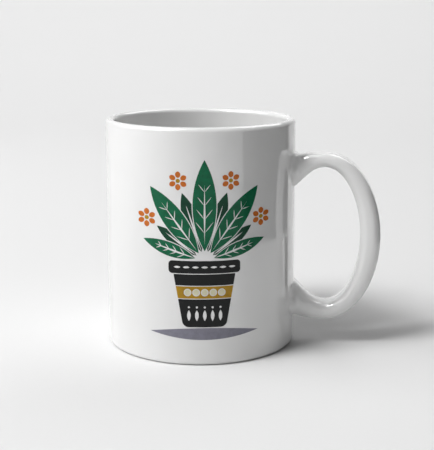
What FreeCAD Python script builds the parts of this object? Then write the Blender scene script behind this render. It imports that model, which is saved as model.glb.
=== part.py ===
"""Straight-sided glazed ceramic mug with a flared loop handle and a printed pot plant.

Millimetres, +Z up. The origin is on the table under the mug's axis, and the handle points along +X.
"""
import FreeCAD, Part
import math
import os
from FreeCAD import Vector

# Body, a straight cast cylinder
body_diameter = 82.0
body_height = 97.5
wall_thickness = 3.8
floor_thickness = 5.5
inner_corner_radius = 8.0
heel_radius = 1.2

# Foot, the bare ring that the mug stands on
foot_height = 0.5
foot_setback = 1.3
foot_width = 3.5
foot_edge_chamfer = 0.2
underside_recess = 1.4
recess_draft = 1.2

# Handle, an oval finger hole inside an oval loop that spreads where it meets the wall
handle_drop = 14.2
handle_rise = 10.9
finger_clearance = 28.3
grip_thickness = 8.6
upper_arch_thickness = 5.7
lower_arch_thickness = 6.8
handle_width = 13.5
hole_overrun = 2.4
root_depth = 1.9
root_droop = 1.1
flare_reach = 3.6
side_flare = 3.8
upper_flare = 2.3
lower_flare = 0.5
section_exponent = 2.5
section_points = 12
root_shares = (0.3, 0.55, 0.72, 0.83, 0.92, 1)

# Print, a pot plant in flat inks with bare lines between them, fitted between its rise and its drop
ink_thickness = 0.15
ink_seat = 0.02
ink_gap = 0.35
print_bearing = -79.0
print_drop = 12.6
print_rise = 11.0
shadow_width = 44.0
shadow_height = 5.0
pot_height = 22.0
pot_top_width = 25.0
pot_bottom_width = 17.5
pot_corner_radius = 2.2
rim_height = 5.2
rim_overhang = 2.0
rim_corner_radius = 1.4
band_height = 5.0
band_drop = 5.0
bead_diameter = 2.4
bead_bridge = 0.35
leaf_count = 9
leaf_fan_angle = 144.0
longest_leaf = 37.0
shortest_leaf = 15.0
leaf_width = 9.6
leaf_start = 4.0
midrib_width = 0.8
midrib_share = 0.82
back_leaf_share = 0.7
flower_gap = 1.2
petal_count = 6
petal_length = 2.6
petal_width = 2.1
flower_eye_diameter = 1.7

body_radius = body_diameter / 2
bore_radius = body_radius - wall_thickness
lip_radius = wall_thickness / 2
foot_outer_radius = body_radius - heel_radius - foot_setback
foot_inner_radius = foot_outer_radius - foot_width
finger_hole_width = finger_clearance + hole_overrun
arches = upper_arch_thickness + lower_arch_thickness
finger_hole_height = body_height - handle_drop - handle_rise - arches
hole_middle = Vector(
    body_radius + finger_clearance - finger_hole_width / 2,
    0,
    handle_rise + lower_arch_thickness + finger_hole_height / 2,
)

pot_base = shadow_height + ink_gap
pot_top = pot_base + pot_height
rim_top = pot_top + ink_gap + rim_height
artwork_height = rim_top + leaf_start + longest_leaf
print_scale = (body_height - print_rise - print_drop) / artwork_height
bead_pitch = bead_diameter + 2 * ink_gap + bead_bridge
bead_count = int(pot_bottom_width / bead_pitch)
petal_start = flower_eye_diameter / 2 + ink_gap
flower_radius = petal_start + petal_length
leaf_root = Vector(0, 0, rim_top)

origin = Vector(0, 0, 0)
outward = Vector(1, 0, 0)
across = Vector(0, 1, 0)
up = Vector(0, 0, 1)


def flat(x, z):
    """A point of a side view, x along the view's width and z above the table."""
    return Vector(x, 0, z)


def arc(centre, radius, start_angle, sweep):
    """An arc of a side view, run anticlockwise from start_angle."""
    points = []
    for step in range(3):
        turn = math.radians(start_angle + sweep * step / 2)
        points.append(centre + flat(math.cos(turn), math.sin(turn)) * radius)
    return Part.Arc(*points).toShape()


def mug_body():
    """Wall, full-round lip, rounded inner corner, heel and the tapered recess under the floor."""
    recess = foot_height + underside_recess
    floor = recess + floor_thickness
    recess_edge = flat(foot_inner_radius - recess_draft, recess)
    foot_edge = flat(foot_inner_radius, foot_height)
    heel = flat(body_radius - heel_radius, foot_height + heel_radius)
    lip = flat(body_radius - lip_radius, body_height - lip_radius)
    corner = flat(bore_radius - inner_corner_radius, floor + inner_corner_radius)
    edges = [
        Part.makeLine(flat(0, recess), recess_edge),
        Part.makeLine(recess_edge, foot_edge),
        Part.makeLine(foot_edge, heel - up * heel_radius),
        arc(heel, heel_radius, 270, 90),
        Part.makeLine(heel + outward * heel_radius, lip + outward * lip_radius),
        arc(lip, lip_radius, 0, 180),
        Part.makeLine(lip - outward * lip_radius, corner + outward * inner_corner_radius),
        arc(corner, inner_corner_radius, 270, 90),
        Part.makeLine(corner - up * inner_corner_radius, flat(0, floor)),
        Part.makeLine(flat(0, floor), flat(0, recess)),
    ]
    profile = Part.Wire(Part.sortEdges(edges)[0])
    return Part.Face(profile).revolve(origin, up, 360)


def foot_ring():
    """The unglazed ring, flat below, with both lower edges eased."""
    ring = Part.makeCylinder(foot_outer_radius, foot_height)
    ring = ring.cut(Part.makeCylinder(foot_inner_radius, foot_height))
    lower_edges = [edge for edge in ring.Edges if edge.BoundBox.ZMax < foot_edge_chamfer]
    return ring.makeChamfer(foot_edge_chamfer, lower_edges).Solids[0]


def oval_section(inner, outer, width):
    """Closed superellipse across the loop, from its inner side to its outer one."""
    middle = (inner + outer) / 2
    half_thickness = (outer - inner) / 2
    power = 2 / section_exponent
    points = []
    for step in range(section_points):
        turn = 2 * math.pi * step / section_points
        bulge, side = math.cos(turn), math.sin(turn)
        bulge = math.copysign(abs(bulge) ** power, bulge)
        side = math.copysign(abs(side) ** power, side)
        points.append(middle + half_thickness * bulge + across * (side * width / 2))
    curve = Part.BSplineCurve()
    curve.interpolate(Points=points, PeriodicFlag=True)
    return Part.Wire([curve.toShape()])


def loop_points(angle):
    """The loop's inner and outer point at an angle above its foremost point."""
    turn = math.radians(angle)
    half_width, half_height = finger_hole_width / 2, finger_hole_height / 2
    arch_thickness = upper_arch_thickness if angle > 0 else lower_arch_thickness
    inner = flat(half_width * math.cos(turn), half_height * math.sin(turn))
    outer_width, outer_height = half_width + grip_thickness, half_height + arch_thickness
    outer = flat(outer_width * math.cos(turn), outer_height * math.sin(turn))
    return hole_middle + inner, hole_middle + outer


def flare(growth, wall_x, x):
    """How far a root has spread at x, on its curve to the full growth at the wall."""
    covered = max(0, wall_x + flare_reach - x) / flare_reach
    return growth * covered ** 2


def root_section(share, side):
    """The upright section of a root, from the loop's top or bottom (share 0) into the wall (share 1)."""
    run = share * (hole_middle.x - body_radius + root_depth)
    x = hole_middle.x - run
    hole_reach = finger_hole_height / 2 * math.sqrt(1 - (run / (finger_hole_width / 2)) ** 2)
    growth = upper_flare if side > 0 else lower_flare
    _, outer = loop_points(side * 90)
    drift = flare(growth, body_radius, x) - root_droop * share ** 2
    widest = handle_width / 2 + side_flare
    side_wall_x = math.sqrt(body_radius ** 2 - widest ** 2)
    width = handle_width + 2 * flare(side_flare, side_wall_x, x)
    return oval_section(flat(x, hole_middle.z + side * hole_reach), flat(x, outer.z + side * drift), width)


def handle_sections():
    """Every section, from inside the wall over the top of the loop and back into the wall."""
    sections = [root_section(share, 1) for share in reversed(root_shares)]
    for angle in (90, 67.5, 45, 22.5, 0, -22.5, -45, -67.5, -90):
        sections.append(oval_section(*loop_points(angle), handle_width))
    return sections + [root_section(share, -1) for share in root_shares]


def mug_handle():
    """The loop, lofted through its sections and cut to seat on the round wall."""
    loop = Part.makeLoft(handle_sections(), True, False)
    wall = Part.makeCylinder(body_radius, body_height)
    wall.rotate(origin, up, 180)
    return loop.cut(wall).Solids[0]


def disc(centre, diameter):
    return Part.Face(Part.Wire([Part.makeCircle(diameter / 2, centre, across)]))


def rounded_outline(corners, radii):
    """A flat shape through the corners, each eased by its own radius."""
    edges = []
    starts, ends = [], []
    for index, corner in enumerate(corners):
        before = (corners[index - 1] - corner).normalize()
        after = (corners[(index + 1) % len(corners)] - corner).normalize()
        half_angle = before.getAngle(after) / 2
        setback = radii[index] / math.tan(half_angle)
        depth = radii[index] / math.sin(half_angle) - radii[index]
        starts.append(corner + before * setback)
        ends.append(corner + after * setback)
        edges.append(Part.Arc(starts[-1], corner + (before + after).normalize() * depth, ends[-1]).toShape())
    for index, end in enumerate(ends):
        edges.append(Part.makeLine(end, starts[(index + 1) % len(corners)]))
    return Part.Face(Part.Wire(Part.sortEdges(edges)[0]))


def leaf(root, angle, start, length, width):
    """A pointed leaf of two arcs, leaning by an angle from upright and starting a way off its root."""
    lean = math.radians(angle)
    along, aside = flat(math.sin(lean), math.cos(lean)), flat(math.cos(lean), -math.sin(lean))
    base = root + along * start
    tip = base + along * length
    middle = (base + tip) / 2
    right = Part.Arc(base, middle + aside * (width / 2), tip).toShape()
    left = Part.Arc(tip, middle - aside * (width / 2), base).toShape()
    return Part.Face(Part.Wire([right, left]))


def leaf_angles(first):
    """Every second angle of the fan, from the first one given."""
    return [leaf_fan_angle * (index / (leaf_count - 1) - 0.5) for index in range(first, leaf_count, 2)]


def leaf_length(angle):
    """Leaves are longest upright and shortest at the sides."""
    return shortest_leaf + (longest_leaf - shortest_leaf) * math.cos(math.radians(angle))


def broad_leaf(angle, length, growth):
    """A leaf of the fan, as broad as its length asks, or with growth its room."""
    width = leaf_width * length / longest_leaf
    return leaf(leaf_root, angle, leaf_start - growth, length + 2 * growth, width + 2 * growth)


def split_leaf(angle, length):
    """A leaf with the bare line of its midrib, which is open at the leaf's base."""
    midrib = leaf(leaf_root, angle, leaf_start - ink_gap, length * midrib_share, midrib_width)
    return broad_leaf(angle, length, 0).cut([midrib, pot_rim(ink_gap)])


def front_leaves():
    return [split_leaf(angle, leaf_length(angle)) for angle in leaf_angles(0)]


def front_leaf_rooms():
    return [broad_leaf(angle, leaf_length(angle), ink_gap) for angle in leaf_angles(0)]


def back_leaves():
    """The shorter leaves between, cut back to leave a bare line round the front ones."""
    rooms = front_leaf_rooms()
    return [split_leaf(angle, leaf_length(angle) * back_leaf_share).cut(rooms) for angle in leaf_angles(1)]


def flower_centres():
    """One flower past the tip of each back leaf."""
    centres = []
    for angle in leaf_angles(1):
        lean = math.radians(angle)
        reach = leaf_start + leaf_length(angle) * back_leaf_share + flower_gap + flower_radius
        centres.append(leaf_root + flat(math.sin(lean), math.cos(lean)) * reach)
    return centres


def petals():
    shapes = []
    for centre in flower_centres():
        for index in range(petal_count):
            angle = 360 * index / petal_count
            shapes.append(leaf(centre, angle, petal_start, petal_length, petal_width))
    return shapes


def flower_eyes():
    return [disc(centre, flower_eye_diameter) for centre in flower_centres()]


def ground_shadow():
    """The flat shape under the pot, pointed at both ends."""
    return [leaf(flat(-shadow_width / 2, shadow_height / 2), 90, 0, shadow_width, shadow_height)]


def pot_band(growth):
    """The strip across the pot, or with growth its room in the pot."""
    bottom, top = pot_top - band_drop - band_height - growth, pot_top - band_drop + growth
    taper = (pot_top_width - pot_bottom_width) / pot_height / 2
    bottom_reach = pot_bottom_width / 2 + taper * (bottom - pot_base) + growth
    top_reach = pot_bottom_width / 2 + taper * (top - pot_base) + growth
    corners = [flat(-bottom_reach, bottom), flat(bottom_reach, bottom), flat(top_reach, top), flat(-top_reach, top)]
    return Part.Face(Part.makePolygon(corners + corners[:1]))


def pot_rim(growth):
    """The rim over the pot, or with growth its room among the leaves."""
    reach = pot_top_width / 2 + rim_overhang + growth
    low, high = pot_top + ink_gap - growth, rim_top + growth
    corners = [flat(-reach, low), flat(reach, low), flat(reach, high), flat(-reach, high)]
    return rounded_outline(corners, [rim_corner_radius + growth] * 4)


def pot():
    """The tapered pot with a room for its band, and the rim above it."""
    foot, mouth = pot_bottom_width / 2, pot_top_width / 2
    sides = [flat(-foot, pot_base), flat(foot, pot_base), flat(mouth, pot_top), flat(-mouth, pot_top)]
    body = rounded_outline(sides, [pot_corner_radius, pot_corner_radius, ink_gap, ink_gap])
    return [body.cut(pot_band(ink_gap)), pot_rim(0)]


def bead_discs(diameter):
    """A row of discs along the middle of the pot's band."""
    height = pot_top - band_drop - band_height / 2
    places = [bead_pitch * (index - (bead_count - 1) / 2) for index in range(bead_count)]
    return [disc(flat(place, height), diameter) for place in places]


def gold_band():
    return [pot_band(0).cut(bead_discs(bead_diameter + 2 * ink_gap))]


def inked(faces):
    """Flat shapes as thin patches of ink on the round wall, fitted and turned to the print's place."""
    sleeve = Part.makeCylinder(body_radius + ink_thickness, body_height)
    sleeve = sleeve.cut(Part.makeCylinder(body_radius + ink_seat, body_height))
    patches = []
    for face in faces:
        placed = face.scaled(print_scale).translated(up * print_rise)
        through_front = placed.extrude(across * -(body_radius + 2 * ink_thickness))
        patches += through_front.common(sleeve).Solids
    patch_set = Part.makeCompound(patches)
    patch_set.rotate(origin, up, print_bearing + 90)
    return patch_set


nodes = {
    "mug_body": mug_body(),
    "foot_ring": foot_ring(),
    "mug_handle": mug_handle(),
    "print_shadow": inked(ground_shadow()),
    "print_pot": inked(pot()),
    "print_band": inked(gold_band()),
    "print_beads": inked(bead_discs(bead_diameter)),
    "print_front_leaves": inked(front_leaves()),
    "print_back_leaves": inked(back_leaves()),
    "print_petals": inked(petals()),
    "print_flower_eyes": inked(flower_eyes()),
}

os.makedirs("parts", exist_ok=True)
for name, shape in nodes.items():
    shape.exportStep(f"parts/{name}.step")
    print(name, len(shape.Solids), shape.isValid(), round(shape.Volume, 1))
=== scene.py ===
"""A white glazed ceramic mug with a loop handle, a bare clay foot and a printed pot plant.

Sizes are in millimetres, and MM turns them to the metres of the frame. Bearings and leans are in
degrees, and a bearing goes from -Y towards +X.
"""
import math

import bmesh
import bpy
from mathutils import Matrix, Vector


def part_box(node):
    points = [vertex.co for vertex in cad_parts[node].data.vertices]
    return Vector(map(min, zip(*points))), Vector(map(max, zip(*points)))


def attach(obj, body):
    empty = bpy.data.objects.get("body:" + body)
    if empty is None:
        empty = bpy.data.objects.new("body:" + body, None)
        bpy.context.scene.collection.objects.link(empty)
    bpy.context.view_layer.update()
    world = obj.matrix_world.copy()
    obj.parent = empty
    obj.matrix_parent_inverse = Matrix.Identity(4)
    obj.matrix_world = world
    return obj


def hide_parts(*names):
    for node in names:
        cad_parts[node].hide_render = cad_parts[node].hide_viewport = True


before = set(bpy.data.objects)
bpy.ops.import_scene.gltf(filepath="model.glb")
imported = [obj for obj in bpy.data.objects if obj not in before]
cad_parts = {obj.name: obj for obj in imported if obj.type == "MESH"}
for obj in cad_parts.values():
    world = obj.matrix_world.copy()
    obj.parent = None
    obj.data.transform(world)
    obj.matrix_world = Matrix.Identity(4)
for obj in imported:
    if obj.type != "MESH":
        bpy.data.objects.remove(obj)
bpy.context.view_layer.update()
MM = 0.001

# Body and foot, their outsides read from the frame
body_low, body_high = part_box("mug_body")
foot_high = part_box("foot_ring")[1]
body_radius = body_high.y / MM
body_top = body_high.z / MM
body_bottom = body_low.z / MM
foot_outer_radius = foot_high.y / MM
foot_top = foot_high.z / MM

wall_thickness = 3.8
floor_thickness = 5.5
inner_corner_radius = 8.0
underside_recess = 1.4
recess_draft = 1.2
foot_width = 3.5
foot_edge_radius = 0.2

# The lip's two rounds each take this share of half the wall, so that they don't quite meet
lip_share = 0.999

# The glazed heel is stretched down round the foot, and leaves a thin gap over the table
heel_radius = 1.2
heel_drop = 0.33

# Handle: a loop round an oval hole, whose left end would lie inside the wall by its overrun
handle_drop = 14.2
handle_rise = 10.9
finger_clearance = 28.3
hole_overrun = 2.4
grip_thickness = 8.6
upper_arch_thickness = 5.7
lower_arch_thickness = 6.8
handle_width = 13.5
inner_edge_radius = 3.0
inner_edge_profile = 0.36
outer_edge_radius = 4.4
outer_edge_profile = 0.5

# Roots: the hole's contour leaves its oval this far from its middle and runs straight to the wall,
# while the outer contour droops and then flares over the last stretch
straight_start = 9.0
root_droop = 1.1
flare_reach = 3.6
side_flare = 3.8
upper_flare = 2.3
lower_flare = 0.5

# Near the wall a root's section turns to an egg whose point looks to the hole: the power of its
# pointed half, where 2 would be an oval, and how far its widest place moves away from the hole
egg_reach = 5.5
egg_point = 1.7
egg_lift = 0.25

# Print, in its own side view: x along the wall and z above the table
ink_depth = 0.04
ink_sink = 0.05
ink_gap = 0.35
print_bearing = -79.0
print_rise = 11.0
shadow_width = 44.0
shadow_height = 5.0
pot_height = 22.0
pot_top_width = 25.0
pot_bottom_width = 17.5
pot_corner_radius = 2.2
rim_height = 5.2
rim_overhang = 2.0
rim_corner_radius = 1.4
band_height = 5.0
band_drop = 5.0
bead_diameter = 2.4
bead_bridge = 0.35
bead_count = 5
pot_seed_count = 5
pot_seed_pitch = 3.2
pot_seed_length = 4.6
pot_seed_width = 1.5
pot_seed_rise = 2.6
pot_dot_diameter = 0.9
rim_seed_count = 7
rim_seed_pitch = 3.7
rim_seed_length = 2.8
rim_seed_width = 0.9
leaf_count = 9
leaf_fan_angle = 144.0
longest_leaf = 37.0
shortest_leaf = 15.0
longest_leaf_width = 9.6
back_leaf_share = 0.7
leaf_start = 4.0
midrib_width = 0.8
midrib_share = 0.82
flower_gap = 1.2
petal_count = 6
petal_length = 2.6
petal_width = 2.1
flower_eye_diameter = 1.7

# Side veins, as shares of their leaf's length and width
vein_pairs = 4
vein_width = 0.34
vein_lean = 38.0
vein_start = 0.2
vein_spread = 0.6
vein_reach = 0.62
vein_shortening = 0.07

# Steps of the rounds
sides_round = 256
corner_steps = 16
lip_steps = 10
heel_steps = 8
ease_steps = 4
arch_step = 7.5
root_steps = 4
flare_steps = 10
handle_edge_steps = 10
panel_corner_steps = 8
disc_sides = 48
flag_sides = 72
sweep_steps = 24

# Tolerances: for finding edges and vertices by place and level faces by normal, for merging and
# bisecting, and the share by which a cutter stands past both ends of a prism
find_tolerance = 0.05
level_normal = 0.999
merge_distance = 0.002
bisect_tolerance = 0.0001
cutter_excess = 0.1

# Camera, fitted to the mug's lip, foot and sides; its horizon is shifted by rows of the picture
camera_distance = 438.1
camera_height = 144.4
camera_bearing = 9.0
camera_pan = 0.92
camera_pitch = 9.65
camera_lens = 81.55
sensor_width = 36
picture_height = 450
horizon_shift = 45

# Paper sweep and room; a lift or strength of 1 is full white
stage_reach = 1500.0
paper_colour = "#DDDDDD"
paper_shade = "#DBDBDB"
paper_lift = 0.18
lift_start = 100.0
room_colour = "#FFFFFF"
room_strength = 0.03
wall_strength = 0.6
card_lift = 0.5

# Softboxes: name, bearing, height, distance, width, tall and watts; they are aimed at a height on the axis
lamp_aim = 50
softboxes = [
    ("key_softbox", -52, 1620, 1090, 620, 620, 23),
    ("side_softbox", -74, 1500, 1350, 2000, 1600, 22.5),
    ("high_softbox", -60, 1900, 700, 1000, 1000, 5.3),
    ("front_softbox", -40, 450, 1500, 900, 700, 1.2),
    ("back_softbox", 150, 1200, 1000, 900, 900, 4.6),
]

# Worked out from the values above
bore_radius = body_radius - wall_thickness
recess_top = body_bottom + underside_recess
inner_floor = recess_top + floor_thickness
foot_inner_radius = foot_outer_radius - foot_width
recess_radius = foot_inner_radius - recess_draft
heel_top = body_bottom + heel_radius
hole_half_width = (finger_clearance + hole_overrun) / 2
hole_half_height = (body_top - handle_drop - handle_rise - upper_arch_thickness - lower_arch_thickness) / 2
hole_x = body_radius + finger_clearance - hole_half_width
hole_z = handle_rise + lower_arch_thickness + hole_half_height
flare_x = body_radius + flare_reach
pot_base = print_rise + shadow_height + ink_gap
pot_top = pot_base + pot_height
rim_base = pot_top + ink_gap
rim_top = rim_base + rim_height
bead_pitch = bead_diameter + 2 * ink_gap + bead_bridge
petal_start = flower_eye_diameter / 2 + ink_gap
flower_radius = petal_start + petal_length
stamp_depth = 1.2 * body_radius


def metres(*lengths):
    return tuple(length * MM for length in lengths)


# Modelling by hand

def leave_all():
    """Leaves edit mode, with nothing selected."""
    if bpy.context.object and bpy.context.object.mode != "OBJECT":
        bpy.ops.object.mode_set(mode="OBJECT")
    bpy.ops.object.select_all(action="DESELECT")


def work_on(piece, mode="EDIT"):
    """Leaves one piece selected and active, in the mode asked for."""
    leave_all()
    piece.select_set(True)
    bpy.context.view_layer.objects.active = piece
    bpy.ops.object.mode_set(mode=mode)
    return piece


def start(name, primitive, **settings):
    """Adds a primitive with its place in its mesh, and opens it with nothing in it selected."""
    leave_all()
    primitive(**settings)
    piece = bpy.context.object
    piece.name = piece.data.name = name
    piece.data.materials.clear()
    bpy.ops.object.transform_apply(location=True, rotation=True, scale=True)
    work_on(piece)
    bpy.ops.mesh.select_all(action="DESELECT")
    return piece


def pick(piece, kind, test):
    """Selects only the faces, edges or verts that pass a test of each and its middle, in edit mode."""
    bpy.ops.mesh.select_mode(type={"faces": "FACE", "edges": "EDGE", "verts": "VERT"}[kind])
    bpy.ops.mesh.select_all(action="DESELECT")
    mesh = bmesh.from_edit_mesh(piece.data)
    for item in getattr(mesh, kind):
        if kind == "faces":
            middle = item.calc_center_median()
        elif kind == "edges":
            middle = (item.verts[0].co + item.verts[1].co) / 2
        else:
            middle = item.co
        item.select = test(item, middle / MM)
    mesh.select_flush_mode()
    bmesh.update_edit_mesh(piece.data)


def on_circle(radius, height):
    """A test for the edges of one circle about the mug's axis."""
    def test(edge, at):
        ends = [vertex.co / MM for vertex in edge.verts]
        return all(abs(math.hypot(end.x, end.y) - radius) < find_tolerance
                   and abs(end.z - height) < find_tolerance for end in ends)
    return test


def extrude(*shift):
    """Extrudes what is picked by a shift."""
    bpy.ops.mesh.extrude_region_move(TRANSFORM_OT_translate={"value": metres(*shift)})


def resize(value, centre=(0, 0, 0)):
    """Scales what is picked about a point."""
    bpy.ops.transform.resize(value=value, center_override=metres(*centre))


def bevel(width, steps, affect="EDGES", profile=0.5):
    """Rounds the edges or corners that are picked."""
    bpy.ops.mesh.bevel(offset=width * MM, segments=steps, profile=profile, affect=affect)


def apply_modifier(piece, kind, **settings):
    """Adds a modifier with its settings and applies it at once."""
    work_on(piece, "OBJECT")
    modifier = piece.modifiers.new(kind.lower(), kind)
    for key, value in settings.items():
        setattr(modifier, key, value)
    bpy.ops.object.modifier_apply(modifier=modifier.name)


def finish_mesh(piece, smooth_angle):
    """Merges doubles, turns all faces outwards and shades smooth up to the angle."""
    work_on(piece)
    bpy.ops.mesh.select_all(action="SELECT")
    bpy.ops.mesh.remove_doubles(threshold=merge_distance * MM)
    bpy.ops.mesh.normals_make_consistent(inside=False)
    work_on(piece, "OBJECT")
    bpy.ops.object.shade_smooth_by_angle(angle=math.radians(smooth_angle))


def copy_of(piece, name):
    """A copy with a mesh of its own."""
    work_on(piece, "OBJECT")
    bpy.ops.object.duplicate(linked=False)
    copy = bpy.context.object
    copy.name = copy.data.name = name
    return copy


def place(piece, shift=(0, 0, 0), turn=0, axis="Y", scale=(1, 1, 1)):
    """Scales and turns a piece about the origin, in radians, shifts it, and leaves its place in its mesh."""
    work_on(piece, "OBJECT")
    piece.scale = scale
    piece.rotation_euler = [turn if letter == axis else 0 for letter in "XYZ"]
    piece.location = metres(*shift)
    bpy.ops.object.transform_apply(location=True, rotation=True, scale=True)
    return piece


def join(pieces, name):
    """Several pieces as one."""
    work_on(pieces[0], "OBJECT")
    for piece in pieces[1:]:
        piece.select_set(True)
    if len(pieces) > 1:
        bpy.ops.object.join()
    joined = bpy.context.object
    joined.name = joined.data.name = name
    return joined


def remove(piece):
    bpy.data.objects.remove(piece, do_unlink=True)


# The mug's own pieces

def glazed_body():
    """A cylinder hollowed by inset and extrude, with its lip, inner corner and heel bevelled round."""
    height = body_top - body_bottom
    piece = start(
        "glazed_body", bpy.ops.mesh.primitive_cylinder_add, vertices=sides_round, radius=body_radius * MM,
        depth=height * MM, location=metres(0, 0, body_bottom + height / 2))
    pick(piece, "faces", lambda face, at: face.normal.z > level_normal)
    bpy.ops.mesh.inset(thickness=wall_thickness * MM)
    extrude(0, 0, inner_floor - body_top)
    pick(piece, "edges", on_circle(bore_radius, inner_floor))
    bevel(inner_corner_radius, corner_steps)
    for radius in (body_radius, bore_radius):
        pick(piece, "edges", on_circle(radius, body_top))
        bevel(wall_thickness / 2 * lip_share, lip_steps)
    pick(piece, "edges", on_circle(body_radius, body_bottom))
    bevel(heel_radius, heel_steps)
    hollow_underside(piece)
    drop_heel(piece)
    finish_mesh(piece, smooth_angle=50)
    apply_modifier(piece, "WEIGHTED_NORMAL", keep_sharp=True)
    return piece


def hollow_underside(piece):
    """Insets the flat bottom within the foot ring, and draws it up to a recess with an eased corner."""
    pick(piece, "faces", lambda face, at: face.normal.z < -level_normal)
    bpy.ops.mesh.inset(thickness=(body_radius - heel_radius - foot_inner_radius) * MM)
    extrude(0, 0, underside_recess)
    narrowing = recess_radius / foot_inner_radius
    resize((narrowing, narrowing, 1), (0, 0, recess_top))
    pick(piece, "edges", on_circle(recess_radius, recess_top))
    bevel(recess_draft / 2, ease_steps)


def drop_heel(piece):
    """Stretches the rounded heel downwards, outside the foot."""
    pick(piece, "verts", lambda vertex, at: at.z < heel_top and math.hypot(at.x, at.y) > foot_outer_radius)
    resize((1, 1, 1 + heel_drop / heel_radius), (0, 0, heel_top))


def clay_foot():
    """The bare ring under the body: a disc inset on both sides, opened to a ring and eased."""
    piece = start(
        "clay_foot", bpy.ops.mesh.primitive_cylinder_add, vertices=sides_round,
        radius=foot_outer_radius * MM, depth=foot_top * MM, location=metres(0, 0, foot_top / 2))
    for side in (1, -1):
        pick(piece, "faces", lambda face, at: face.normal.z * side > level_normal)
        bpy.ops.mesh.inset(thickness=foot_width * MM)
    pick(piece, "faces", lambda face, at: math.hypot(at.x, at.y) < find_tolerance)
    bpy.ops.mesh.bridge_edge_loops()
    for radius in (foot_outer_radius, foot_inner_radius):
        pick(piece, "edges", on_circle(radius, 0))
        bevel(foot_edge_radius, ease_steps)
    finish_mesh(piece, smooth_angle=50)
    apply_modifier(piece, "WEIGHTED_NORMAL", keep_sharp=True)
    return piece


def arch_thickness(side):
    return upper_arch_thickness if side > 0 else lower_arch_thickness


def loop_section(angle):
    """Middle, lean, thickness and width of the loop at an angle above its foremost point."""
    turn = math.radians(angle)
    inner = Vector((hole_half_width * math.cos(turn), 0, hole_half_height * math.sin(turn)))
    outer = Vector((
        (hole_half_width + grip_thickness) * math.cos(turn), 0,
        (hole_half_height + arch_thickness(angle)) * math.sin(turn)))
    across = outer - inner
    middle = Vector((hole_x, 0, hole_z)) + (inner + outer) / 2
    return middle, math.atan2(across.z, across.x), across.length, handle_width


def root_section(x, side, spread):
    """The same for an upright section of a root, with its spread from 0 to 1 at the wall."""
    run = hole_x - x
    oval_run = min(run, straight_start)
    inner = hole_half_height * math.sqrt(1 - (oval_run / hole_half_width) ** 2)
    slope = (hole_half_height / hole_half_width) ** 2 * oval_run / inner
    inner -= (run - oval_run) * slope
    flare = upper_flare if side > 0 else lower_flare
    share = run / (hole_x - body_radius)
    outer = hole_half_height + arch_thickness(side) - root_droop * share ** 2 + flare * spread
    middle = Vector((x, 0, hole_z + side * (inner + outer) / 2))
    return middle, side * math.pi / 2, outer - inner, handle_width + 2 * side_flare * spread


def root_sections(side):
    """From the loop's top or bottom to the wall, where the root spreads along a quarter oval."""
    sections = []
    for step in range(1, root_steps):
        sections.append(root_section(hole_x + (flare_x - hole_x) * step / root_steps, side, 0))
    for step in range(flare_steps + 1):
        turn = math.pi / 2 * step / flare_steps
        sections.append(root_section(flare_x - flare_reach * math.sin(turn), side, 1 - math.cos(turn)))
    return sections


def handle_sections():
    arch = [loop_section(90 - arch_step * step) for step in range(int(180 / arch_step) + 1)]
    return root_sections(1)[::-1] + arch + root_sections(-1)


def rounded_section(middle, thickness, width):
    """A plane stood upright across the loop's start, with soft inner and softer outer edges."""
    piece = start("glazed_handle", bpy.ops.mesh.primitive_plane_add, size=1)
    bpy.ops.mesh.select_all(action="SELECT")
    resize(metres(grip_thickness, width, 1))
    for side, radius, profile in (
            (-1, inner_edge_radius, inner_edge_profile), (1, outer_edge_radius, outer_edge_profile)):
        pick(piece, "verts", lambda vertex, at: at.x * side > grip_thickness / 2 - find_tolerance)
        bevel(radius, handle_edge_steps, "VERTICES", profile)
    return place(piece, shift=middle, turn=-math.pi / 2, scale=(thickness / grip_thickness, 1, 1))


def glazed_handle():
    """One rounded section, extruded ring by ring round the loop and seated on the wall at both ends."""
    sections = handle_sections()
    middle, lean, thickness, width = sections[0]
    piece = rounded_section(middle, thickness, width)
    work_on(piece)
    bpy.ops.mesh.select_all(action="SELECT")
    for next_middle, next_lean, next_thickness, next_width in sections[1:]:
        extrude(*(next_middle - middle))
        bpy.ops.transform.rotate(
            value=next_lean - lean, orient_axis="Y", center_override=metres(*next_middle))
        swell = next_thickness / thickness
        resize((swell, next_width / width, swell), next_middle)
        middle, lean, thickness, width = next_middle, next_lean, next_thickness, next_width
    seat_roots(piece)
    finish_mesh(piece, smooth_angle=60)
    return piece


def seat_roots(piece):
    """Turns the roots' rings to eggs towards the wall, and wraps them round it by its sag at each y."""
    mesh = bmesh.from_edit_mesh(piece.data)
    rings = {}
    for vertex in mesh.verts:
        if vertex.co.x / MM < hole_x - find_tolerance:
            key = round(vertex.co.x / MM, 3), vertex.co.z / MM > hole_z
            rings.setdefault(key, []).append(vertex)
    for (x, is_upper), ring in rings.items():
        shape_ring(ring, is_upper, share=min(1, max(0, 1 - (x - body_radius) / egg_reach)))
    for vertex in mesh.verts:
        x, y = vertex.co.x / MM, vertex.co.y / MM
        if x < hole_x - find_tolerance:
            bend = min(1, max(0, 1 - (x - flare_x) / (hole_x - flare_x)))
            vertex.co.x -= bend * (body_radius - math.sqrt(body_radius ** 2 - y ** 2)) * MM
    bmesh.update_edit_mesh(piece.data)


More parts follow.
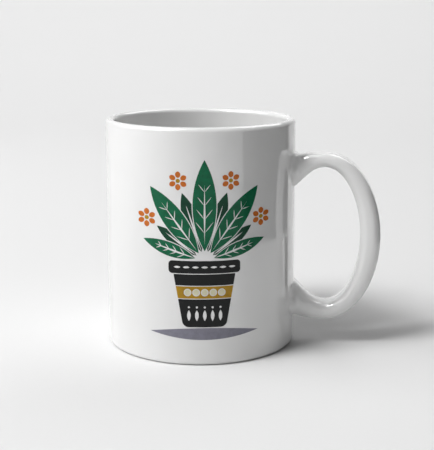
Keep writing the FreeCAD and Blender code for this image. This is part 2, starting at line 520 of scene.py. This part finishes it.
def shape_ring(ring, is_upper, share):
    """Draws a ring's vertices in towards an egg, by a share from 0 to 1."""
    heights = [vertex.co.z for vertex in ring]
    half_height = (max(heights) - min(heights)) / 2
    half_width = max(vertex.co.y for vertex in ring)
    lift = egg_lift if is_upper else -egg_lift
    level = (max(heights) + min(heights)) / 2 + lift * half_height
    for vertex in ring:
        is_inner = (vertex.co.z < level) == is_upper
        reach = half_height * (1 + egg_lift if is_inner else 1 - egg_lift)
        power = egg_point if is_inner else 2
        across, rise = abs(vertex.co.y) / half_width, abs(vertex.co.z - level) / reach
        shrink = 1 + share * ((across ** power + rise ** power) ** (-1 / power) - 1)
        vertex.co.y *= shrink
        vertex.co.z = level + (vertex.co.z - level) * shrink


# Shapes and cuts of the print

def lens(name, length, width, sides=96):
    """A pointed leaf standing on the origin, as a prism: one side of a cylinder and its mirror image."""
    radius = (length ** 2 + width ** 2) / (4 * width)
    piece = start(
        name, bpy.ops.mesh.primitive_cylinder_add, vertices=sides, radius=radius * MM,
        depth=stamp_depth * MM, rotation=(math.pi / 2, 0, 0),
        location=metres(width / 2 - radius, -stamp_depth / 2, length / 2))
    bpy.ops.mesh.select_all(action="SELECT")
    bpy.ops.mesh.bisect(
        plane_co=(0, 0, 0), plane_no=(1, 0, 0), clear_inner=True, threshold=bisect_tolerance * MM)
    bpy.ops.mesh.select_all(action="SELECT")
    bpy.ops.mesh.duplicate()
    resize((-1, 1, 1))
    bpy.ops.mesh.select_all(action="SELECT")
    bpy.ops.mesh.remove_doubles(threshold=merge_distance * MM)
    bpy.ops.mesh.normals_make_consistent(inside=False)
    return work_on(piece, "OBJECT")


def deepen(piece):
    """Extrudes a flat shape from the axis to past the wall's front, as a cutter or a stamp."""
    work_on(piece)
    bpy.ops.mesh.select_all(action="SELECT")
    extrude(0, -stamp_depth, 0)
    bpy.ops.mesh.select_all(action="SELECT")
    bpy.ops.mesh.normals_make_consistent(inside=False)
    return work_on(piece, "OBJECT")


def panel(name, low_width, high_width, height, low_radius, high_radius):
    """A four-sided prism on the origin, from a plane that is narrowed below and rounded at its corners."""
    piece = start(name, bpy.ops.mesh.primitive_plane_add, size=1, rotation=(math.pi / 2, 0, 0))
    bpy.ops.mesh.select_all(action="SELECT")
    resize(metres(high_width, 1, height))
    bpy.ops.transform.translate(value=metres(0, 0, height / 2))
    pick(piece, "verts", lambda vertex, at: at.z < height / 2)
    resize((low_width / high_width, 1, 1))
    for radius, is_low in ((low_radius, True), (high_radius, False)):
        if radius:
            pick(piece, "verts", lambda vertex, at: (at.z < height / 2) == is_low)
            bevel(radius, panel_corner_steps, "VERTICES")
    return deepen(piece)


def disc(name, diameter):
    """A round prism about the origin."""
    piece = start(
        name, bpy.ops.mesh.primitive_circle_add, vertices=disc_sides, radius=diameter / 2 * MM,
        fill_type="NGON", rotation=(math.pi / 2, 0, 0))
    return deepen(piece)


def cut(piece, cutters):
    """Cuts a piece with others, which are used up."""
    for cutter in cutters:
        apply_modifier(piece, "BOOLEAN", operation="DIFFERENCE", object=cutter, solver="EXACT")
        remove(cutter)
    return piece


def cut_flat(piece, cutters):
    """Cuts a prism with others, stretched to reach past both of its ends."""
    for cutter in cutters:
        place(cutter, shift=(0, cutter_excess * stamp_depth, 0), scale=(1, 1 + 2 * cutter_excess, 1))
    return cut(piece, cutters)


def sleeve():
    """The thin skin of the wall's front that every ink takes its curve from."""
    height = body_top - body_bottom
    middle = metres(0, 0, body_bottom + height / 2)
    piece = start(
        "sleeve", bpy.ops.mesh.primitive_cylinder_add, vertices=sides_round,
        radius=(body_radius + ink_depth) * MM, depth=height * MM, location=middle)
    core = start(
        "core", bpy.ops.mesh.primitive_cylinder_add, vertices=sides_round,
        radius=(body_radius - ink_sink) * MM, depth=2 * height * MM, location=middle)
    return cut(piece, [core])


def stamp(piece, name, skin):
    """Presses a flat prism onto the wall at the print's bearing."""
    piece.name = piece.data.name = name
    apply_modifier(piece, "BOOLEAN", operation="INTERSECT", object=skin, solver="EXACT")
    place(piece, turn=math.radians(print_bearing + 90), axis="Z")
    finish_mesh(piece, smooth_angle=30)
    return piece


# The printed plant

def leaf_angles(first):
    """Every second leaf of the fan: from 0 the front ones, from 1 the back ones."""
    return [leaf_fan_angle * (index / (leaf_count - 1) - 0.5) for index in range(first, leaf_count, 2)]


def leaf_length(angle):
    """Leaves are longest upright and shortest at the sides."""
    return shortest_leaf + (longest_leaf - shortest_leaf) * math.cos(math.radians(angle))


def leaf_width(length):
    """All leaves have the longest one's proportions."""
    return longest_leaf_width * length / longest_leaf


def lean_leaf(piece, angle, start_at):
    """Leans a leaf over the rim, with its base some way off the fan's middle."""
    turn = math.radians(angle)
    shift = (math.sin(turn) * start_at, 0, rim_top + math.cos(turn) * start_at)
    return place(piece, shift=shift, turn=turn)


def midrib(length):
    """The cutter for a leaf's midrib, from just below its base."""
    return place(lens("midrib", length * midrib_share, midrib_width), shift=(0, 0, -ink_gap))


def veined_leaf(length):
    """A leaf on the origin, with bare lines for its midrib and its side veins."""
    piece = lens("leaf", length, leaf_width(length))
    cutters = [midrib(length)]
    for pair in range(vein_pairs):
        height = length * (vein_start + vein_spread * pair / vein_pairs)
        reach = leaf_width(length) * (vein_reach - vein_shortening * pair)
        for side in (1, -1):
            vein = lens("vein", reach, vein_width, sides=192)
            cutters.append(place(vein, shift=(0, 0, height), turn=side * math.radians(vein_lean)))
    return cut_flat(piece, cutters)


def front_leaf_room(angle):
    """The space that a front leaf and the bare line round it take."""
    length = leaf_length(angle)
    room = lens("room", length + 2 * ink_gap, leaf_width(length) + 2 * ink_gap)
    return lean_leaf(room, angle, leaf_start - ink_gap)


def front_leaves(skin):
    leaves = [lean_leaf(veined_leaf(leaf_length(angle)), angle, leaf_start) for angle in leaf_angles(0)]
    return stamp(join(leaves, "leaves"), "front_leaf_ink", skin)


def back_leaves(skin):
    """The shorter leaves between, cut back to leave a bare line round the front ones."""
    leaves = []
    for angle in leaf_angles(1):
        length = leaf_length(angle) * back_leaf_share
        leaf = cut_flat(lens("leaf", length, leaf_width(length)), [midrib(length)])
        lean_leaf(leaf, angle, leaf_start)
        leaves.append(cut_flat(leaf, [front_leaf_room(other) for other in leaf_angles(0)]))
    return stamp(join(leaves, "leaves"), "back_leaf_ink", skin)


def flower_places():
    """One flower past the tip of each back leaf."""
    places = []
    for angle in leaf_angles(1):
        turn = math.radians(angle)
        reach = leaf_start + leaf_length(angle) * back_leaf_share + flower_gap + flower_radius
        places.append((math.sin(turn) * reach, 0, rim_top + math.cos(turn) * reach))
    return places


def petals(skin):
    """One petal, copied round an eye to a flower, and the flower copied to its places."""
    petal = place(lens("petal", petal_length, petal_width, sides=48), shift=(0, 0, petal_start))
    ring = [petal]
    for index in range(1, petal_count):
        ring.append(place(copy_of(petal, "petal"), turn=2 * math.pi * index / petal_count))
    flower = join(ring, "flower")
    copies = [place(copy_of(flower, "flower"), shift=spot) for spot in flower_places()]
    remove(flower)
    return stamp(join(copies, "flowers"), "petal_ink", skin)


def flower_eyes(skin):
    eyes = [place(disc("eye", flower_eye_diameter), shift=spot) for spot in flower_places()]
    return stamp(join(eyes, "eyes"), "flower_eye_ink", skin)


# The printed pot

def ground_shadow(skin):
    """The flat shape under the pot, pointed at both ends."""
    piece = lens("shadow", shadow_width, shadow_height, sides=512)
    place(piece, shift=(0, 0, -shadow_width / 2))
    place(piece, shift=(0, 0, print_rise + shadow_height / 2), turn=math.pi / 2)
    return stamp(piece, "shadow_ink", skin)


def band_prism(name, growth):
    """The strip across the pot, or with growth its room in the pot."""
    bottom, top = pot_top - band_drop - band_height - growth, pot_top - band_drop + growth
    taper = (pot_top_width - pot_bottom_width) / pot_height
    low_width = pot_bottom_width + taper * (bottom - pot_base) + 2 * growth
    high_width = pot_bottom_width + taper * (top - pot_base) + 2 * growth
    piece = panel(name, low_width, high_width, top - bottom, 0, 0)
    return place(piece, shift=(0, 0, bottom))


def upright_seeds():
    """Bare seeds that stand in a row under the band, each with a dot over it."""
    seed_height = pot_base + pot_seed_rise
    dot_height = seed_height + pot_seed_length + 2 * ink_gap + pot_dot_diameter / 2
    cutters = []
    for index in range(pot_seed_count):
        across = pot_seed_pitch * (index - (pot_seed_count - 1) / 2)
        cutters.append(place(lens("seed", pot_seed_length, pot_seed_width), shift=(across, 0, seed_height)))
        cutters.append(place(disc("dot", pot_dot_diameter), shift=(across, 0, dot_height)))
    return cutters


def lying_seeds():
    """Bare seeds that lie end to end along the rim."""
    cutters = []
    for index in range(rim_seed_count):
        across = rim_seed_pitch * (index - rim_seed_count / 2) + (rim_seed_pitch - rim_seed_length) / 2
        seed = lens("seed", rim_seed_length, rim_seed_width)
        cutters.append(place(seed, shift=(across, 0, rim_base + rim_height / 2), turn=math.pi / 2))
    return cutters


def pot(skin):
    """The tapered pot with a room for its band, and the rim above it, both with a row of bare seeds."""
    body = panel("pot", pot_bottom_width, pot_top_width, pot_height, pot_corner_radius, ink_gap)
    place(body, shift=(0, 0, pot_base))
    cut_flat(body, [band_prism("room", ink_gap)] + upright_seeds())
    rim_width = pot_top_width + 2 * rim_overhang
    rim = panel("rim", rim_width, rim_width, rim_height, rim_corner_radius, rim_corner_radius)
    place(rim, shift=(0, 0, rim_base))
    cut_flat(rim, lying_seeds())
    return stamp(join([body, rim], "pot"), "pot_ink", skin)


def bead_row(diameter):
    """A row of discs along the middle of the pot's band."""
    height = pot_top - band_drop - band_height / 2
    row = []
    for index in range(bead_count):
        across = bead_pitch * (index - (bead_count - 1) / 2)
        row.append(place(disc("bead", diameter), shift=(across, 0, height)))
    return row


def gold_band(skin):
    """The strip, with a hole and a bare line round each bead."""
    band = cut_flat(band_prism("band", 0), bead_row(bead_diameter + 2 * ink_gap))
    return stamp(band, "band_ink", skin)


def beads(skin):
    return stamp(join(bead_row(bead_diameter), "beads"), "bead_ink", skin)


# Materials

# Sockets of a colour mix by number, because its float, vector and colour sockets share their names
mix_share, mix_first, mix_second, mixed = 0, 6, 7, 2


def paint(hex_colour):
    """An sRGB hex colour as linear red, green, blue and alpha."""
    channels = [int(hex_colour[first:first + 2], 16) / 255 for first in (1, 3, 5)]
    linear = [c / 12.92 if c <= 0.04045 else ((c + 0.055) / 1.055) ** 2.4 for c in channels]
    return (*linear, 1)


def per(size):
    """The texture scale at which a pattern repeats about every so many millimetres."""
    return 1 / (size * MM)


def add(tree, kind, sockets=None, links=None, **fields):
    """Adds a node with its fields and socket values; links maps a socket to a node and its output."""
    node = tree.nodes.new(kind)
    for name, value in fields.items():
        setattr(node, name, value)
    for name, value in (sockets or {}).items():
        node.inputs[name].default_value = value
    for name, (source, output) in (links or {}).items():
        tree.links.new(source.outputs[output], node.inputs[name])
    return node


def new_material(name):
    """An empty node material and its node tree."""
    material = bpy.data.materials.new(name)
    material.use_nodes = True
    material.node_tree.nodes.clear()
    return material, material.node_tree


def dipped_ripple(tree, where):
    """The slow ripple of about 16 mm with which a dipped glaze bends reflections."""
    ripple = add(tree, "ShaderNodeTexNoise", {"Scale": per(16), "Detail": 1.0}, where)
    return add(tree, "ShaderNodeBump", {"Strength": 0.35, "Distance": 0.12 * MM},
               {"Height": (ripple, "Fac")})


def white_glaze():
    """Stoneware dipped in a clear white glaze and fired: a hard glassy gloss, almost even."""
    material, tree = new_material("dipped_white_glaze")
    where = {"Vector": (add(tree, "ShaderNodeTexCoord"), "Object")}
    # The glaze lies thicker and thinner over some 22 mm, which warms and cools the white by a hair
    pooling = add(tree, "ShaderNodeTexNoise", {"Scale": per(22), "Detail": 2.0}, where)
    tint = add(tree, "ShaderNodeMix", {mix_first: paint("#E7E7E7"), mix_second: paint("#E3E3E2")},
               {mix_share: (pooling, "Fac")}, data_type="RGBA")
    # Fired glaze is a touch less glassy in patches of about 6 mm
    patches = add(tree, "ShaderNodeTexNoise", {"Scale": per(6), "Detail": 3.0}, where)
    sheen = add(tree, "ShaderNodeMapRange", {"To Min": 0.06, "To Max": 0.11}, {"Value": (patches, "Fac")})
    wave = dipped_ripple(tree, where)
    # Rare pinholes, real ones 0.1 mm wide, drawn 0.4 mm wide so that they show
    pores = add(tree, "ShaderNodeTexVoronoi", {"Scale": per(11)}, where)
    hole = add(tree, "ShaderNodeMapRange", {"From Max": 0.02}, {"Value": (pores, "Distance")})
    pit = add(tree, "ShaderNodeBump", {"Strength": 0.5, "Distance": 0.05 * MM},
              {"Height": (hole, "Result"), "Normal": (wave, "Normal")})
    glaze = add(tree, "ShaderNodeBsdfPrincipled",
                {"IOR": 1.52, "Coat Weight": 1.0, "Coat Roughness": 0.04, "Coat IOR": 1.7},
                {"Base Color": (tint, mixed), "Roughness": (sheen, "Result"), "Normal": (pit, "Normal")})
    add(tree, "ShaderNodeOutputMaterial", links={"Surface": (glaze, "BSDF")})
    return material


def bare_clay():
    """Biscuit clay wiped free of glaze: matt, off-white, with fine dark specks and a sandy grain."""
    material, tree = new_material("wiped_biscuit_clay")
    where = {"Vector": (add(tree, "ShaderNodeTexCoord"), "Object")}
    # Tone drifts over about 5 mm, where the sponge wiped the ring
    drift = add(tree, "ShaderNodeTexNoise", {"Scale": per(5), "Detail": 4.0}, where)
    tone = add(tree, "ShaderNodeMix", {mix_first: paint("#C9C1B4"), mix_second: paint("#B8AF9F")},
               {mix_share: (drift, "Fac")}, data_type="RGBA")
    # Iron specks in the clay, real ones 0.1 mm, drawn about 0.3 mm so that they show
    specks = add(tree, "ShaderNodeTexNoise", {"Scale": per(0.7), "Detail": 2.0}, where)
    rare = add(tree, "ShaderNodeMapRange", {"From Min": 0.66, "From Max": 0.72}, {"Value": (specks, "Fac")})
    clay = add(tree, "ShaderNodeMix", {mix_second: paint("#746655")},
               {mix_share: (rare, "Result"), mix_first: (tone, mixed)}, data_type="RGBA")
    # Sandy grain of 0.25 mm
    grain = add(tree, "ShaderNodeTexNoise", {"Scale": per(0.25), "Detail": 3.0}, where)
    rough = add(tree, "ShaderNodeBump", {"Strength": 0.6, "Distance": 0.04 * MM},
                {"Height": (grain, "Fac")})
    worn = add(tree, "ShaderNodeMapRange", {"To Min": 0.75, "To Max": 0.95}, {"Value": (drift, "Fac")})
    biscuit = add(tree, "ShaderNodeBsdfPrincipled", {"IOR": 1.45},
                  {"Base Color": (clay, mixed), "Roughness": (worn, "Result"), "Normal": (rough, "Normal")})
    add(tree, "ShaderNodeOutputMaterial", links={"Surface": (biscuit, "BSDF")})
    return material


def fired_ink(name, colour, deeper):
    """A ceramic transfer ink fired into the glaze: flat colour under gloss, mottled where the film thins."""
    material, tree = new_material(name)
    where = {"Vector": (add(tree, "ShaderNodeTexCoord"), "Object")}
    # The film is uneven over about 2.5 mm
    film = add(tree, "ShaderNodeTexNoise", {"Scale": per(2.5), "Detail": 3.0}, where)
    # Screen grain, real mesh 0.1 mm, drawn at 0.5 mm so that it shows
    screen = add(tree, "ShaderNodeTexNoise", {"Scale": per(0.5), "Detail": 1.0}, where)
    both = add(tree, "ShaderNodeMath", {1: 0.35}, {0: (screen, "Fac"), 2: (film, "Fac")},
               operation="MULTIPLY_ADD")
    blend = add(tree, "ShaderNodeMapRange", {"From Min": 0.45, "From Max": 0.9}, {"Value": (both, "Value")})
    tint = add(tree, "ShaderNodeMix", {mix_first: paint(colour), mix_second: paint(deeper)},
               {mix_share: (blend, "Result")}, data_type="RGBA")
    # The same slow ripple as the glaze round it
    wave = dipped_ripple(tree, where)
    sheen = add(tree, "ShaderNodeMapRange", {"To Min": 0.2, "To Max": 0.28}, {"Value": (film, "Fac")})
    ink = add(tree, "ShaderNodeBsdfPrincipled", {"IOR": 1.5, "Specular IOR Level": 0.25},
              {"Base Color": (tint, mixed), "Roughness": (sheen, "Result"), "Normal": (wave, "Normal")})
    add(tree, "ShaderNodeOutputMaterial", links={"Surface": (ink, "BSDF")})
    return material


def seamless_paper():
    """Matt studio paper under and behind the mug, which keeps the mug's shadow."""
    material, tree = new_material("matt_seamless_paper")
    where = {"Vector": (add(tree, "ShaderNodeTexCoord"), "Object")}
    # Fibres clump over about 1.5 mm
    fibres = add(tree, "ShaderNodeTexNoise", {"Scale": per(1.5), "Detail": 2.0}, where)
    tone = add(tree, "ShaderNodeMix", {mix_first: paint(paper_colour), mix_second: paint(paper_shade)},
               {mix_share: (fibres, "Fac")}, data_type="RGBA")
    paper = add(tree, "ShaderNodeBsdfPrincipled", {"Roughness": 0.9, "Specular IOR Level": 0.15},
                {"Base Color": (tone, mixed)})
    # Seen straight or mirrored, the paper is lifted a little towards the back, where less lamp light falls
    path = add(tree, "ShaderNodeLightPath")
    parts = add(tree, "ShaderNodeSeparateXYZ", links=where)
    back = add(tree, "ShaderNodeMapRange",
               {"From Min": lift_start * MM, "From Max": stage_reach * MM, "To Max": paper_lift},
               {"Value": (parts, "Y")})
    seen = add(tree, "ShaderNodeMath", links={0: (path, "Is Camera Ray"), 1: (path, "Is Glossy Ray")},
               operation="MAXIMUM")
    lift = add(tree, "ShaderNodeMath", links={0: (seen, "Value"), 1: (back, "Result")},
               operation="MULTIPLY")
    glow = add(tree, "ShaderNodeEmission", {"Color": paint("#FFFFFF")}, {"Strength": (lift, "Value")})
    both = add(tree, "ShaderNodeAddShader", links={0: (paper, "BSDF"), 1: (glow, "Emission")})
    add(tree, "ShaderNodeOutputMaterial", links={"Surface": (both, "Shader")})
    return material


def black_card():
    """Matt black card, which takes the shine off the glaze where it is mirrored."""
    material, tree = new_material("black_card")
    card = add(tree, "ShaderNodeBsdfPrincipled", {"Base Color": paint("#0A0A0A"), "Roughness": 0.9})
    add(tree, "ShaderNodeOutputMaterial", links={"Surface": (card, "BSDF")})
    return material


# Stage, lights and camera

def studio_floor():
    """A pale sweep: a plane whose back edge is drawn up and rounded."""
    piece = start("studio_floor", bpy.ops.mesh.primitive_plane_add, size=2 * stage_reach * MM)
    pick(piece, "edges", lambda edge, at: at.y > stage_reach - find_tolerance)
    extrude(0, 0, stage_reach)
    pick(piece, "edges", lambda edge, at: at.y > stage_reach - find_tolerance and at.z < find_tolerance)
    bevel(stage_reach / 2, sweep_steps)
    work_on(piece, "OBJECT")
    bpy.ops.object.shade_smooth()
    piece.data.materials.append(seamless_paper())


def soft_lamp(name, bearing, height, distance, width, tall, watts):
    """A rectangular softbox aimed at the mug."""
    turn = math.radians(bearing)
    spot = Vector((math.sin(turn) * distance, -math.cos(turn) * distance, height))
    lamp = bpy.data.lights.new(name, "AREA")
    lamp.shape, lamp.size, lamp.size_y, lamp.energy = "RECTANGLE", width * MM, tall * MM, watts
    holder = bpy.data.objects.new(name, lamp)
    bpy.context.scene.collection.objects.link(holder)
    holder.location = spot * MM
    holder.rotation_mode = "QUATERNION"
    holder.rotation_quaternion = (Vector((0, 0, lamp_aim)) - spot).to_track_quat("-Z", "Y")


def show_in_glaze_only(piece):
    """Makes a stage piece a black card that the glaze mirrors and nothing else sees."""
    piece.data.materials.append(black_card())
    piece.visible_camera = piece.visible_shadow = piece.visible_diffuse = False


def black_flag(name, low_bearing, high_bearing, distance, top):
    """A curved black card that stands round the mug between two bearings."""
    piece = start(name, bpy.ops.mesh.primitive_circle_add, vertices=flag_sides, radius=distance * MM)
    bpy.ops.mesh.select_all(action="SELECT")
    extrude(0, 0, top)

    def is_outside(face, at):
        return not low_bearing < math.degrees(math.atan2(at.x, -at.y)) < high_bearing

    pick(piece, "faces", is_outside)
    bpy.ops.mesh.delete(type="FACE")
    work_on(piece, "OBJECT")
    bpy.ops.object.shade_smooth()
    show_in_glaze_only(piece)


def floor_shadow_card(name, bearing, start_at, length, near_width, far_width):
    """A black card that lies on the floor along a bearing and widens away from the mug: painted shadow, a
    dark sheet laid where the mug's shadow falls, which only the glaze mirrors.
    """
    piece = start(name, bpy.ops.mesh.primitive_plane_add, size=1)
    bpy.ops.mesh.select_all(action="SELECT")
    resize(metres(near_width, length, 1))
    bpy.ops.transform.translate(value=metres(0, length / 2, card_lift))
    pick(piece, "verts", lambda vertex, at: at.y > length / 2)
    resize((far_width / near_width, 1, 1))
    place(piece, shift=start_at, turn=math.radians(bearing) - math.pi, axis="Z")
    show_in_glaze_only(piece)


def room_light():
    """Dim, even light from the room, whose pale walls show only in views and reflections."""
    world = bpy.data.worlds.new("dim_room")
    bpy.context.scene.world = world
    world.use_nodes = True
    tree = world.node_tree
    tree.nodes.clear()
    path = add(tree, "ShaderNodeLightPath")
    seen = add(tree, "ShaderNodeMath", links={0: (path, "Is Camera Ray"), 1: (path, "Is Glossy Ray")},
               operation="MAXIMUM")
    shown = add(tree, "ShaderNodeMath", links={0: (seen, "Value"), 1: (path, "Is Transmission Ray")},
                operation="MAXIMUM")
    strength = add(tree, "ShaderNodeMapRange", {"To Min": room_strength, "To Max": wall_strength},
                   {"Value": (shown, "Value")})
    room = add(tree, "ShaderNodeBackground", {"Color": paint(room_colour)},
               {"Strength": (strength, "Result")})
    add(tree, "ShaderNodeOutputWorld", links={"Surface": (room, "Background")})


def place_camera():
    """The photograph's view."""
    bearing = math.radians(camera_bearing)
    view = bpy.data.cameras.new("photo_camera")
    view.sensor_width = sensor_width
    view.lens = camera_lens
    view.shift_y = -horizon_shift / picture_height
    camera = bpy.data.objects.new("photo_camera", view)
    bpy.context.scene.collection.objects.link(camera)
    camera.location = metres(
        math.sin(bearing) * camera_distance, -math.cos(bearing) * camera_distance, camera_height)
    pitch = math.radians(90 - camera_pitch)
    camera.rotation_euler = (pitch, 0, bearing - math.radians(camera_pan))
    bpy.context.scene.camera = camera


bpy.context.scene.view_settings.view_transform = "Standard"
place_camera()
studio_floor()
room_light()
for softbox in softboxes:
    soft_lamp(*softbox)
black_flag("right_flag", low_bearing=56, high_bearing=128, distance=245, top=110)
# Painted shadow: a black card on the floor along the mug's shadow, seen only mirrored in the glaze
floor_shadow_card("painted_shadow_card", bearing=134.6, start_at=(87, 40.5, 0), length=141, near_width=13, far_width=37)

glaze = white_glaze()
skin = sleeve()
green = fired_ink("leaf_green_ink", "#036844", "#035537")
deep_green = fired_ink("deep_green_ink", "#03432B", "#023523")
charcoal = fired_ink("charcoal_ink", "#121414", "#0B0D0D")
lavender = fired_ink("grey_lavender_ink", "#858491", "#7A7985")
gold = fired_ink("gold_ink", "#B1891C", "#9C7716")
cream = fired_ink("cream_ink", "#D9D6BA", "#CDC9A7")
orange = fired_ink("orange_ink", "#C96F28", "#BA611C")

dressed = [
    (glazed_body(), glaze, "mug_body", "white_glaze"),
    (glazed_handle(), glaze, "mug_handle", "white_glaze"),
    (clay_foot(), bare_clay(), "foot_ring", "bare_clay"),
    (ground_shadow(skin), lavender, "print_shadow", "lavender_ink"),
    (pot(skin), charcoal, "print_pot", "charcoal_ink"),
    (gold_band(skin), gold, "print_band", "gold_ink"),
    (beads(skin), cream, "print_beads", "cream_ink"),
    (front_leaves(skin), green, "print_front_leaves", "green_ink"),
    (back_leaves(skin), deep_green, "print_back_leaves", "deep_green_ink"),
    (petals(skin), orange, "print_petals", "orange_ink"),
    (flower_eyes(skin), gold, "print_flower_eyes", "gold_ink"),
]
remove(skin)
for piece, material, node, slot in dressed:
    piece.data.materials.clear()
    piece.data.materials.append(material)
    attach(piece, "root")
    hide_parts(node)
